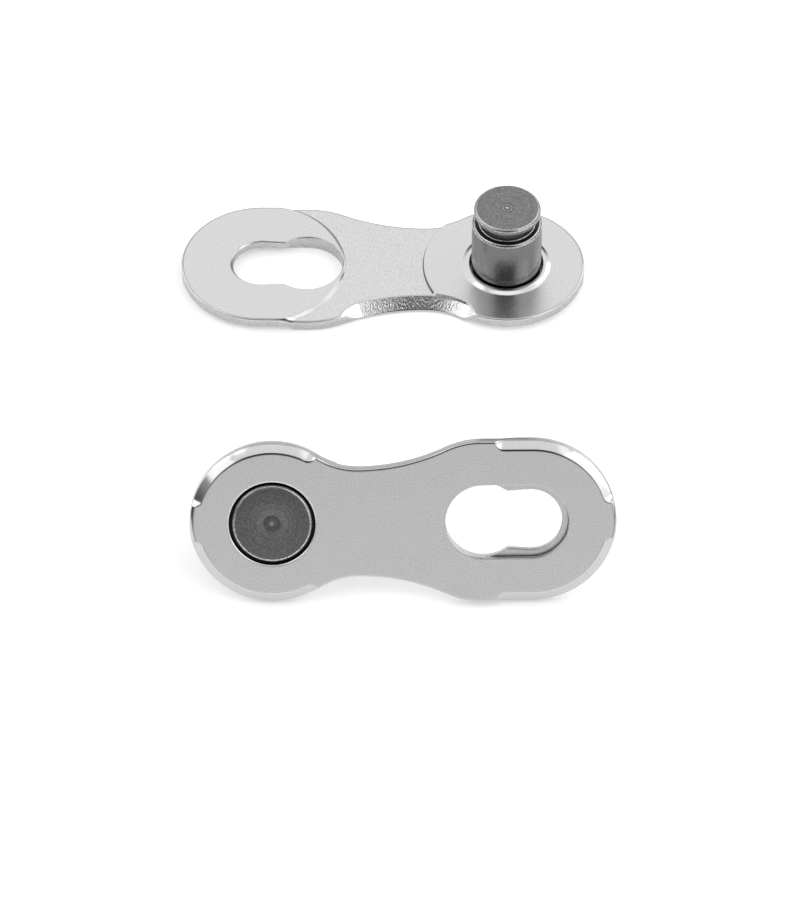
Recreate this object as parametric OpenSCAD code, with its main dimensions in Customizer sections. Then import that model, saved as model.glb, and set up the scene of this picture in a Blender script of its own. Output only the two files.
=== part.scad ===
// Chain connecting link: two like halves, each a plate with one pin pressed in it.
// A half is drawn with its outer face at z = 0 and its inner face up. The pin axis
// is at x = pitch / 2 and the seat of the slot at x = -pitch / 2.
// Half A lies flat on the floor. Half B leans beside it on the tip of its own pin.

/* [Plate outline] */
// Distance from the pin axis to the seat where the other half's pin locks
pitch = 12.7; // [11:0.1:16]
// Radius of the end that carries the pin
pin_end_r = 4.07; // [3.7:0.01:4.5]
// Radius of the end with the slot
slot_end_r = 4.13; // [3.8:0.01:4.6]
// How far the centre of the slot end lies beyond the seat
slot_end_shift = 0.12; // [0:0.01:0.3]
// Radius of the shoulder where the slot end meets the waist
shoulder_r = 4.14; // [3.9:0.01:4.6]
// Distance of the shoulder's centre from the seat, toward the waist
shoulder_reach = 2.4; // [1.8:0.1:2.8]
// Half of the width across the waist at its narrowest
waist_half = 2.78; // [2.5:0.01:3.2]
// Distance of the narrowest place from the middle of the link, toward the pin
waist_shift = 2.1; // [1.2:0.1:2.3]

/* [Plate thickness] */
// Thickness of the waist
waist_t = 0.64; // [0.55:0.01:0.74]
// Thickness of the coined pads round the pin and the slot
pad_t = 0.8; // [0.76:0.01:0.9]
// Radius of the pad round the pin, which the outline cuts off
pin_pad_r = 4.36; // [4.2:0.01:4.6]
// Radius of the pad round the slot
slot_pad_r = 4.4; // [4.36:0.01:4.6]

/* [Coined bevels] */
// Width of the bevels on the outer face, round both ends
end_bevel_w = 0.45; // [0.2:0.01:0.6]
// Depth of those bevels at the edge
end_bevel_d = 0.26; // [0.15:0.01:0.5]
// Height left bare at the very tip of each end, above and below the centre line
tip_gap = 1.35; // [0.8:0.05:2]
// Where the pin end's bevels stop, as an angle from the tip of the link
pin_bevel_stop = 117; // [95:1:119]
// How far the slot end's bevels run on past the seat, toward the waist
slot_bevel_run = 1.4; // [0.8:0.1:1.8]
// Width of the bevel on the inner face of the waist
waist_bevel_w = 0.62; // [0.3:0.01:0.8]
// Thickness of the edge that this bevel leaves
waist_bevel_edge = 0.17; // [0.1:0.01:0.35]
// How far this bevel runs at full width from the narrowest place toward the slot
waist_bevel_left = 3.2; // [2:0.1:3.4]
// How far it runs at full width from the narrowest place toward the pin
waist_bevel_right = 1.8; // [1:0.1:2.1]
// Length of the scoop in which it dies out toward the slot
waist_scoop_left = 1.3; // [0.5:0.1:1.5]
// Length of the scoop in which it dies out toward the pin
waist_scoop_right = 1; // [0.5:0.1:1.2]

/* [Keyhole slot] */
// Radius of the entry that the other pin's head passes through
entry_r = 1.88; // [1.86:0.01:1.95]
// Distance of the entry's centre from the seat
lock_travel = 2.3; // [2.1:0.05:2.35]
// Half of the narrowest width between entry and seat
neck_half = 1.48; // [1.46:0.01:1.52]
// Radius of the seat
seat_r = 1.56; // [1.53:0.01:1.6]
// Depth of the recess in the outer face that takes the other pin's head
recess_d = 0.34; // [0.25:0.01:0.4]
// Radius of the recess
recess_r = 1.88; // [1.8:0.01:1.95]
// Width of the relief at the seat's end of the inner face
seat_relief = 0.14; // [0.08:0.01:0.2]

/* [Pin] */
// Radius of the root pressed into the plate, at the outer face
root_r = 1.91; // [1.88:0.01:1.98]
// How much narrower the root is at its inner end
root_taper = 0.02; // [0.01:0.01:0.04]
// How far the root's end lies below the outer face
root_sunk = 0.02; // [0:0.01:0.06]
// How far the root's inner end lies below the pad's surface
root_drop = 0.2; // [0.1:0.01:0.3]
// Radius of the shank
shank_r = 1.82; // [1.78:0.01:1.84]
// How much narrower the shank is at its very foot, below the collar's top
foot_taper = 0.04; // [0.02:0.01:0.08]
// Clearance between the collar's top and the shank's foot
foot_clear = 0.03; // [0.01:0.01:0.1]
// Height of the shank's top above the outer face
shank_top = 3.9; // [3.6:0.05:4]
// Radius at the bottom of the locking groove
groove_r = 1.44; // [1.38:0.01:1.45]
// Height of the locking groove
groove_h = 0.7; // [0.55:0.01:0.8]
// Radius of the pin's head at the tip
head_r = 1.73; // [1.68:0.01:1.76]
// Height of that head
head_h = 0.32; // [0.28:0.01:0.4]
// Chamfer on the edges of the pin
pin_chamfer = 0.1; // [0.05:0.01:0.14]
// Radius of the raised collar round the pin, at its foot
collar_r = 2.32; // [2.2:0.01:2.5]
// Radius of the collar's flat top, inside its slope
collar_top_r = 2.08; // [2:0.01:2.16]
// Height of the collar
collar_h = 0.12; // [0.06:0.01:0.2]
// Width of the ring that is open round the root in the outer face
ring_w = 0.17; // [0.1:0.01:0.25]
// Depth of that ring
ring_d = 0.28; // [0.15:0.01:0.35]

/* [Where half B lies] */
// Distance of half B in front of half A
pair_gap = 21; // [14:0.1:30]
// Distance of half B to the right of half A
pair_shift = 1; // [-4:0.1:4]
// Turn of half B on the floor
pair_turn = 0.7; // [-10:0.1:10]

/* [Hidden] */
$fn = 96;
eps = 0.01;
over = 0.25;
arc_step = 4;
bevel_step = 7;

pin_x = pitch / 2;
seat_x = -pitch / 2;
entry_x = seat_x + lock_travel;
slot_end_x = seat_x - slot_end_shift;
shoulder_x = seat_x + shoulder_reach;

// Radius of the hollow that touches the waist's narrowest place and an end circle
function hollow_r(run, end_r) = (run * run + waist_half * waist_half - end_r * end_r) / (2 * (end_r - waist_half));
pin_hollow_r = hollow_r(pin_x - waist_shift, pin_end_r);
slot_hollow_r = hollow_r(waist_shift - shoulder_x, shoulder_r);
// How far each hollow reaches round before it runs into the end circle
pin_hollow_a = atan((pin_x - waist_shift) / (waist_half + pin_hollow_r));
slot_hollow_a = atan((waist_shift - shoulder_x) / (waist_half + slot_hollow_r));
// Slope of the straight edge between the slot end and the shoulder
slot_side_a = asin((shoulder_r - slot_end_r) / (shoulder_x - slot_end_x));

// The pin, from its root up
root_top = pad_t - root_drop;
shank_foot = pad_t + collar_h + foot_clear;
head_foot = shank_top + groove_h;
pin_top = head_foot + head_h;
head_rim = pin_top - pin_chamfer;
// Radius of the tapered root, and of its bore, at height z
function root_r_at(z) = root_r - root_taper * z / root_top;

// Half B touches the floor with the rim of its pin's head and with the front edge of
// each end. Its lean follows from the rim and the pin end, and its tilt along the link
// from whichever part of the slot end reaches the floor first.
lean = atan((head_rim - pad_t) / (pin_end_r - head_r));
slot_end_drop = (slot_end_r - pin_end_r) * sin(lean) / (pin_x - slot_end_x);
shoulder_drop = ((shoulder_r - pin_end_r) * sin(lean) - (pad_t - waist_t) * cos(lean)) / (pin_x - shoulder_x);
tilt_drop = max(slot_end_drop, shoulder_drop);
tilt = asin(tilt_drop / sin(lean));
rise = pin_x * tilt_drop + pin_end_r * sin(lean) + pad_t * cos(lean);

// Points along an arc, from angle a up to but not at angle b, where the next one starts
function arc(x, y, r, a, b) =
    let (n = ceil(abs(b - a) / arc_step))
    [for (i = [0 : n - 1]) let (t = a + (b - a) * i / n) [x + r * cos(t), y + r * sin(t)]];

// Upper edge of the plate, from the tip of the pin end to the tip of the slot end
upper_edge = concat(
    arc(pin_x, 0, pin_end_r, 0, 90 + pin_hollow_a),
    arc(waist_shift, waist_half + pin_hollow_r, pin_hollow_r, -90 + pin_hollow_a, -90),
    arc(waist_shift, waist_half + slot_hollow_r, slot_hollow_r, -90, -90 - slot_hollow_a),
    arc(shoulder_x, 0, shoulder_r, 90 - slot_hollow_a, 90 + slot_side_a),
    arc(slot_end_x, 0, slot_end_r, 90 + slot_side_a, 180),
    [[slot_end_x - slot_end_r, 0]]
);
lower_edge = [for (i = [len(upper_edge) - 2 : -1 : 1]) [upper_edge[i][0], -upper_edge[i][1]]];

module blank(t) {
    linear_extrude(t)
        polygon(concat(upper_edge, lower_edge));
}

// A bevel is cut by a bar of triangular section, swept along the edge of the plate.
// It runs anticlockwise round the plate, so the plate lies to its left. Each row holds
// the section's three corners at one point p of the edge, where n points into the
// plate, w is the bevel's width, face the height of the face that it is cut in, and
// edge the height at which it meets the edge.
function bevel_row(p, n, w, face, edge) =
    let (
        inner = p + n * w * (1 + over),
        outer = p - n * w * over,
        past_face = face + (face - edge) * over,
        past_edge = edge - (face - edge) * over,
        row = [[inner, past_face], [outer, past_edge], [outer, past_face]],
        order = edge > face ? [0, 1, 2] : [2, 1, 0]
    )
    [for (i = order) [row[i][0][0], row[i][0][1], row[i][1]]];

// The bevel dies out in a scoop at both ends: t goes from 0 to 1 along the scoop
function scoop_w(t) = sqrt(1 - t * t);
function scoop_d(t) = 1 - t * t;
scoop = [0.25, 0.45, 0.63, 0.78, 0.9, 0.97];
scoop_back = [for (i = [len(scoop) - 1 : -1 : 0]) scoop[i]];

// Each of these lists rows of [x, y, inward x, inward y, scoop], where the scoop is 0
// along the bevel and rises to 1 at its ends
function on_arc(x, y, r, a, side, t) = [x + r * cos(a), y + r * sin(a), side * cos(a), side * sin(a), t];
function along_arc(x, y, r, a, b, side) =
    let (n = ceil(abs(b - a) / bevel_step))
    [for (i = [0 : n]) on_arc(x, y, r, a + (b - a) * i / n, side, 0)];

module bevel(places, w, face_of, depth) {
    rows = [
        for (q = places)
            let (
                p = [q[0], q[1]],
                n = [q[2], q[3]],
                face = face_height(p + n * w, face_of),
                full = face_of == "outer" ? depth : face - depth,
                cut = full * scoop_d(q[4])
            )
            bevel_row(p, n, w * scoop_w(q[4]), face, face_of == "outer" ? cut : face - cut)
    ];
    last = len(rows) - 1;
    polyhedron(
        points = [for (row = rows) each row],
        faces = concat(
            [[0, 1, 2]],
            [
                for (i = [0 : last - 1], k = [0 : 2])
                    let (m = (k + 1) % 3)
                    [3 * i + m, 3 * i + k, 3 * i + 3 + k, 3 * i + 3 + m]
            ],
            [[3 * last + 2, 3 * last + 1, 3 * last]]
        )
    );
}

// Height of the outer face, or of the inner face at point p
function face_height(p, face_of) =
    face_of == "outer" ? 0
    : norm(p - [pin_x, 0]) < pin_pad_r || norm(p - [slot_end_x, 0]) < slot_pad_r ? pad_t
    : waist_t;

module pin_end_bevel() {
    start = asin(tip_gap / pin_end_r);
    scoop_a = end_bevel_w / pin_end_r * 180 / PI;
    bevel(concat(
        [for (t = scoop_back) on_arc(pin_x, 0, pin_end_r, start - t * scoop_a, -1, t)],
        along_arc(pin_x, 0, pin_end_r, start, pin_bevel_stop, -1),
        [for (t = scoop) on_arc(pin_x, 0, pin_end_r, pin_bevel_stop + t * scoop_a, -1, t)]
    ), end_bevel_w, "outer", end_bevel_d);
}

module slot_end_bevel() {
    stop = 180 - asin(tip_gap / slot_end_r);
    scoop_a = end_bevel_w / slot_end_r * 180 / PI;
    side_a = 90 + slot_side_a;
    side = [cos(slot_side_a), sin(slot_side_a)];
    corner = [slot_end_x, 0] + slot_end_r * [cos(side_a), sin(side_a)];
    bevel(concat(
        [
            for (t = scoop_back)
                let (p = corner + side * (slot_bevel_run + t * end_bevel_w))
                [p[0], p[1], -cos(side_a), -sin(side_a), t]
        ],
        [for (p = [corner + side * slot_bevel_run]) [p[0], p[1], -cos(side_a), -sin(side_a), 0]],
        along_arc(slot_end_x, 0, slot_end_r, side_a, stop, -1),
        [for (t = scoop) on_arc(slot_end_x, 0, slot_end_r, stop + t * scoop_a, -1, t)]
    ), end_bevel_w, "outer", end_bevel_d);
}

module waist_bevel() {
    slot_y = -waist_half - slot_hollow_r;
    pin_y = -waist_half - pin_hollow_r;
    left_a = 90 + asin(waist_bevel_left / slot_hollow_r);
    right_a = 90 - asin(waist_bevel_right / pin_hollow_r);
    left_scoop = waist_scoop_left / slot_hollow_r * 180 / PI;
    right_scoop = waist_scoop_right / pin_hollow_r * 180 / PI;
    bevel(concat(
        [for (t = scoop_back) on_arc(waist_shift, slot_y, slot_hollow_r, left_a + t * left_scoop, 1, t)],
        along_arc(waist_shift, slot_y, slot_hollow_r, left_a, 90.5, 1),
        along_arc(waist_shift, pin_y, pin_hollow_r, 89.5, right_a, 1),
        [for (t = scoop) on_arc(waist_shift, pin_y, pin_hollow_r, right_a - t * right_scoop, 1, t)]
    ), waist_bevel_w, "inner", waist_bevel_edge);
}

// What is taken off the inner face between the two pads
module pad_step() {
    difference() {
        translate([seat_x, -2 * slot_pad_r, waist_t])
            cube([pitch, 4 * slot_pad_r, pad_t]);
        translate([slot_end_x, 0, 0])
            cylinder(h = 3 * pad_t, r = slot_pad_r);
        translate([pin_x, 0, 0])
            cylinder(h = 3 * pad_t, r = pin_pad_r);
    }
}

// The hole right through the plate: entry, neck and seat
module keyhole() {
    translate([0, 0, -eps])
        linear_extrude(pad_t + 2 * eps)
            polygon([
                [seat_x, seat_r],
                [entry_x - sqrt(entry_r * entry_r - neck_half * neck_half), neck_half],
                [entry_x, neck_half],
                [entry_x, -neck_half],
                [entry_x - sqrt(entry_r * entry_r - neck_half * neck_half), -neck_half],
                [seat_x, -seat_r]
            ]);
    translate([entry_x, 0, -eps])
        cylinder(h = pad_t + 2 * eps, r = entry_r);
    translate([seat_x, 0, -eps])
        cylinder(h = pad_t + 2 * eps, r = seat_r);
}

// The recess in the outer face, along the whole travel of the other pin's head
module head_recess() {
    for (x = [seat_x, entry_x])
        translate([x, 0, -eps])
            cylinder(h = recess_d + eps, r = recess_r);
    translate([seat_x, -recess_r, -eps])
        cube([lock_travel, 2 * recess_r, recess_d + eps]);
}

// The relief on the inner face at the far end of the seat
module seat_end_relief() {
    translate([seat_x - seat_relief, 0, pad_t - seat_relief])
        cylinder(h = seat_relief + eps, r1 = seat_r - seat_relief, r2 = seat_r + eps);
}

// The bore that the pin's root is pressed into, with the open ring round its outer end
module pin_bore() {
    translate([pin_x, 0, 0])
        cylinder(h = root_top, r1 = root_r_at(0), r2 = root_r_at(root_top));
    translate([pin_x, 0, root_top - eps])
        cylinder(h = shank_foot - root_top, r = root_r_at(root_top));
    translate([pin_x, 0, -eps])
        cylinder(h = ring_d + eps, r = root_r + ring_w);
}

module plate() {
    difference() {
        union() {
            difference() {
                blank(pad_t);
                pad_step();
                waist_bevel();
                pin_end_bevel();
                slot_end_bevel();
                mirror([0, 1, 0])
                    pin_end_bevel();
                mirror([0, 1, 0])
                    slot_end_bevel();
            }
            translate([pin_x, 0, waist_t])
                cylinder(h = pad_t - waist_t, r = collar_r);
            translate([pin_x, 0, pad_t])
                cylinder(h = collar_h, r1 = collar_r, r2 = collar_top_r);
        }
        keyhole();
        head_recess();
        seat_end_relief();
        pin_bore();
    }
}

module pin() {
    c = pin_chamfer;
    translate([pin_x, 0, 0])
        rotate_extrude()
            polygon([
                [0, root_sunk],
                [root_r_at(root_sunk + c) - c, root_sunk],
                [root_r_at(root_sunk + c), root_sunk + c],
                [root_r_at(root_top), root_top],
                [shank_r - foot_taper, root_top],
                [shank_r, shank_foot],
                [shank_r, shank_top - c],
                [shank_r - c, shank_top],
                [groove_r, shank_top],
                [groove_r, head_foot],
                [head_r, head_foot],
                [head_r, head_rim],
                [head_r - c, pin_top],
                [0, pin_top]
            ]);
}

// Half B: turned over, tilted, leant on its pin and set down in front of half A
module place_b() {
    translate([pair_shift, -pair_gap, rise])
        rotate([0, 0, pair_turn])
            rotate([lean, 0, 0])
                rotate([0, 0, tilt])
                    rotate([0, 180, 0])
                        children();
}

module outer_plate_a() {
    color("silver")
        plate();
}

module connecting_pin_a() {
    color("dimgray")
        pin();
}

module outer_plate_b() {
    color("silver")
        place_b()
            plate();
}

module connecting_pin_b() {
    color("dimgray")
        place_b()
            pin();
}

outer_plate_a();
connecting_pin_a();
outer_plate_b();
connecting_pin_b();
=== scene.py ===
"""Looks of a chain connecting link: two like halves, each a stamped plate with one turned pin.

The part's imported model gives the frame. Plates and pins are built again here with their rounded edges,
coined bevels and turning marks, each half in its own coordinates: the outer face of its plate at z = 0,
the pin axis at x = half the pitch. Half A lies flat and half B leans on its pin in front of it.
"""

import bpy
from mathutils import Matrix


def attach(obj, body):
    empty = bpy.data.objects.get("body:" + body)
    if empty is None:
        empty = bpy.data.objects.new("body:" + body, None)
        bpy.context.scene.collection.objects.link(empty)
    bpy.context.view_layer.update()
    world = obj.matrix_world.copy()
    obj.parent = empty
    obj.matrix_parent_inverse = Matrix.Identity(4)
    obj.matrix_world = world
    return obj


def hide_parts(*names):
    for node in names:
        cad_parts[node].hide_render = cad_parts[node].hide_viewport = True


bl_info = {
    "name": "Chain Connecting Link",
    "version": (1, 0, 0),
    "blender": (4, 5, 0),
    "location": "View3D > Sidebar > Link",
    "description": "Builds the plates, the pins and the stage of a chain connecting link",
    "category": "Object",
}

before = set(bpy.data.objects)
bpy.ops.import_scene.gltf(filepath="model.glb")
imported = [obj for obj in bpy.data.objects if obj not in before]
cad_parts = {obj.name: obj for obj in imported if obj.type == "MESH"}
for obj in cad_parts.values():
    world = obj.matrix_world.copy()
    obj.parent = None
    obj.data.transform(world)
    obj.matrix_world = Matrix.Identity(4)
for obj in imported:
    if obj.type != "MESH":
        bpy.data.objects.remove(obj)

from math import asin, atan, atan2, cos, degrees, hypot, pi, radians, sin, tan

import bmesh
import bpy
import numpy as np
from bpy.props import FloatProperty, FloatVectorProperty, IntProperty, PointerProperty
from mathutils import Matrix, Vector, noise
from mathutils.geometry import delaunay_2d_cdt

MM = 0.001

# The plate, in millimetres and degrees, as in the part's source
PITCH = 12.7
PIN_END_R = 4.07
SLOT_END_R = 4.13
SLOT_END_SHIFT = 0.12
SHOULDER_R = 4.14
SHOULDER_REACH = 2.4
WAIST_HALF = 2.78
WAIST_SHIFT = 2.1
WAIST_T = 0.64
PAD_T = 0.8
PIN_PAD_R = 4.36
SLOT_PAD_R = 4.4
PIN_PAD_SLOPE = 0.06
SLOT_PAD_SLOPE = 0.2
TIP_GAP = 1.35
PIN_BEVEL_STOP = 117
SLOT_BEVEL_RUN = 1.4
WAIST_BEVEL_W = 0.62
WAIST_BEVEL_EDGE = 0.17
WAIST_BEVEL_LEFT = 3.2
WAIST_BEVEL_RIGHT = 1.8
WAIST_SCOOP_LEFT = 1.3
WAIST_SCOOP_RIGHT = 1.0

# The keyhole slot
ENTRY_R = 1.88
LOCK_TRAVEL = 2.3
NECK_HALF = 1.48
SEAT_R = 1.56
RECESS_D = 0.34
RECESS_R = 1.88
SEAT_RELIEF = 0.14

# The pin and the collar round it
ROOT_R = 1.91
ROOT_TAPER = 0.02
ROOT_SUNK = 0.02
ROOT_DROP = 0.2
SHANK_R = 1.82
FOOT_TAPER = 0.04
FOOT_CLEAR = 0.03
SHANK_TOP = 3.9
GROOVE_R = 1.44
GROOVE_H = 0.7
HEAD_R = 1.73
HEAD_H = 0.32
PIN_CHAMFER = 0.1
COLLAR_R = 2.32
COLLAR_TOP_R = 2.08
COLLAR_H = 0.12
RING_D = 0.28
# Riveting spreads the root's end a little and opens the ring round it
RIVET_R = 1.99
RING_R = 2.12

# Where half B lies
PAIR_GAP = 21.0
PAIR_SHIFT = 1.0
PAIR_TURN = 0.7

PIN_X = PITCH / 2
SEAT_X = -PITCH / 2
ENTRY_X = SEAT_X + LOCK_TRAVEL
SLOT_END_X = SEAT_X - SLOT_END_SHIFT
SHOULDER_X = SEAT_X + SHOULDER_REACH
# Each pad: x of its centre, radius, and width of the slope inside its edge
PADS = ((PIN_X, PIN_PAD_R, PIN_PAD_SLOPE), (SLOT_END_X, SLOT_PAD_R, SLOT_PAD_SLOPE))
ROOT_TOP = PAD_T - ROOT_DROP
COLLAR_TOP = PAD_T + COLLAR_H
SHANK_FOOT = COLLAR_TOP + FOOT_CLEAR
HEAD_FOOT = SHANK_TOP + GROOVE_H
PIN_TOP = HEAD_FOOT + HEAD_H

# Faces of a plate by finish, in the order of its material slots
SATIN, PAD, SLOPE, STEP, BEVEL, EDGE, STRIATED, GAP, COLLAR = range(9)
# Faces of a pin by finish
SIDE, TIP, ROOT, GROOVE, WORN = range(5)


def linear(hex_color):
    """The linear RGBA of an sRGB hex value."""
    shades = [int(hex_color[i:i + 2], 16) / 255 for i in (1, 3, 5)]
    return tuple(c / 12.92 if c <= 0.04045 else ((c + 0.055) / 1.055) ** 2.4 for c in shades) + (1.0,)


# What the colour settings share, and what the lengths share
COLOR = {"subtype": "COLOR", "size": 4, "min": 0, "max": 1}
LENGTH = {"unit": "LENGTH", "precision": 6}


class ChainLinkPlateSettings(bpy.types.PropertyGroup):
    """Sizes and colours of the stamped plates' finish."""

    nickel: FloatVectorProperty(
        name="Nickel", description="Colour of the nickel plate", default=linear("#E2E2E2"), **COLOR)
    # The sheared edges' darker colour is painted shade, for the shaded floor and hole that they mirror
    sheared: FloatVectorProperty(
        name="Sheared edge", description="Colour of the plate's edges, where the plating is thinner",
        default=linear("#B9B9B9"), **COLOR)
    # The bevels' darker colour is painted shade, for the shaded floor that the lower bevels mirror; the pads'
    # slopes share it
    bevel: FloatVectorProperty(
        name="Bevel", description="Colour of the coined bevels", default=linear("#C4C4C4"), **COLOR)
    striated: FloatVectorProperty(
        name="Striated bevel", description="Colour of the waist's bevel", default=linear("#D2D2D2"), **COLOR)
    # The step's dark colour is painted shade, which makes the steep step round the pin's pad show as a dark
    # line
    step: FloatVectorProperty(
        name="Step", description="Colour of the dirty step round the pin's pad", default=linear("#6E6E6E"),
        **COLOR)
    # Painted shade: this near-black colour stands for the shade deep in the gap round the pin and in the
    # recess's corner
    gap: FloatVectorProperty(
        name="Gap", description="Colour inside the gap round the pin", default=linear("#303030"), **COLOR)
    bevel_width: FloatProperty(
        name="Bevel width", description="Width of the coined bevels on the outer face", default=0.45 * MM,
        **LENGTH)
    bevel_depth: FloatProperty(
        name="Bevel depth", description="Depth of those bevels at the edge", default=0.26 * MM, **LENGTH)
    edge_round: FloatProperty(
        name="Edge rounding", description="Width of the worn rounding on the plate's edges",
        default=0.06 * MM, **LENGTH)
    striation: FloatProperty(
        name="Striation depth", description="Depth of the grooves across the waist's bevel",
        default=0.005 * MM, **LENGTH)
    striation_pitch: FloatProperty(
        name="Striation spacing", description="Distance from one of those grooves to the next",
        default=0.07 * MM, **LENGTH)
    grain: FloatProperty(
        name="Grain", description="Size of the tumbled grain", default=0.05 * MM, **LENGTH)


class ChainLinkPinSettings(bpy.types.PropertyGroup):
    """Sizes and colours of the turned pins' finish."""

    steel: FloatVectorProperty(
        name="Steel", description="Colour of the hardened steel", default=linear("#747474"), **COLOR)
    tip: FloatVectorProperty(
        name="Tip", description="Colour of the tip's end", default=linear("#868686"), **COLOR)
    root: FloatVectorProperty(
        name="Root", description="Colour of the root's end", default=linear("#707070"), **COLOR)
    worn: FloatVectorProperty(
        name="Worn edge", description="Colour of the edges that tumbling has worn", default=linear("#B4B4B4"),
        **COLOR)
    groove: FloatVectorProperty(
        name="Groove", description="Colour at the bottom of the locking groove", default=linear("#4A4A4A"),
        **COLOR)
    edge_round: FloatProperty(
        name="Edge rounding", description="Width of the rounding on the pin's edges", default=0.045 * MM,
        **LENGTH)
    turning_pitch: FloatProperty(
        name="Turning pitch", description="Distance between the tool marks on the pin", default=0.06 * MM,
        **LENGTH)
    sides: IntProperty(
        name="Sides", description="Number of flats that each round is drawn with", default=160, min=48,
        max=256)


class ChainLinkStageSettings(bpy.types.PropertyGroup):
    """Floor, light and camera."""

    floor: FloatVectorProperty(
        name="Floor", description="Colour of the floor", default=linear("#F2F2F2"), **COLOR)
    floor_glow: FloatProperty(
        name="Floor glow", description="Light that the floor adds to what the camera and the metal see of it",
        default=0.3, min=0, max=1)
    tent: FloatProperty(
        name="Tent", description="Level of the plain light all round", default=0.5, min=0, max=1)
    boxes: FloatProperty(
        name="Softboxes", description="Level of the softboxes", default=1.0, min=0, max=3)
    floor_size: FloatProperty(
        name="Floor size", description="Length of the floor's sides", default=3.0, min=0.2, **LENGTH)


# Mesh helpers. A path is a list of rings, and a ring is an (n, 3) array in millimetres: its points at n
# places round the piece.

# A rounding's steps, and the share of the way to the next corner that it may take
ROUND_STEPS = 4
MOST_CUT = 0.45


def curve(t, start, corner, end):
    """The point at the share t of the curve from the start to the end that the corner pulls on."""
    return (1 - t) ** 2 * start + 2 * t * (1 - t) * corner + t * t * end


def arc(x, y, r, angle):
    """Points of a circle at the angles, in two columns."""
    return np.stack([x + r * np.cos(angle), y + r * np.sin(angle)], 1)


def moved(base, direction, out, height):
    """The ring of the base's points moved out along their directions, at the height."""
    flat = (base + direction * np.broadcast_to(out, len(base))[:, None])[:, :2]
    return np.column_stack([flat, np.broadcast_to(height, len(base))])


def rounded(corners, cuts):
    """The path through the corners with each inner corner cut back by its width and rounded."""
    path = [corners[0]]
    for before, here, after, cut in zip(corners, corners[1:], corners[2:], cuts):
        ends = []
        for other in (before, after):
            length = np.linalg.norm(other - here, axis=1, keepdims=True)
            ends.append(here + (other - here) * np.minimum(cut / np.maximum(length, 1e-9), MOST_CUT))
        path += [curve(t, ends[0], here, ends[1]) for t in np.linspace(0, 1, ROUND_STEPS)]
    return path + [corners[-1]]


def inside(points, loop):
    """Which of the points lie inside the closed loop."""
    x, y = points[:, :1], points[:, 1:2]
    x0, y0 = loop[:, 0], loop[:, 1]
    x1, y1 = np.roll(x0, -1), np.roll(y0, -1)
    crosses = (y0 > y) != (y1 > y)
    with np.errstate(divide="ignore", invalid="ignore"):
        at = x0 + (y - y0) * (x1 - x0) / (y1 - y0)
    return (crosses & (x < at)).sum(1) % 2 == 1


def patches(triangles, fences):
    """Groups the triangles that touch along edges other than the fences, as lists of their numbers."""
    beside = {}
    for number, triangle in enumerate(triangles):
        for i in range(3):
            beside.setdefault(frozenset((triangle[i], triangle[i - 1])), []).append(number)
    left = set(range(len(triangles)))
    while left:
        patch, front = [], [left.pop()]
        while front:
            number = front.pop()
            patch.append(number)
            triangle = triangles[number]
            for i in range(3):
                pair = frozenset((triangle[i], triangle[i - 1]))
                if pair not in fences:
                    near = [n for n in beside[pair] if n in left]
                    left.difference_update(near)
                    front += near
        yield patch


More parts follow.
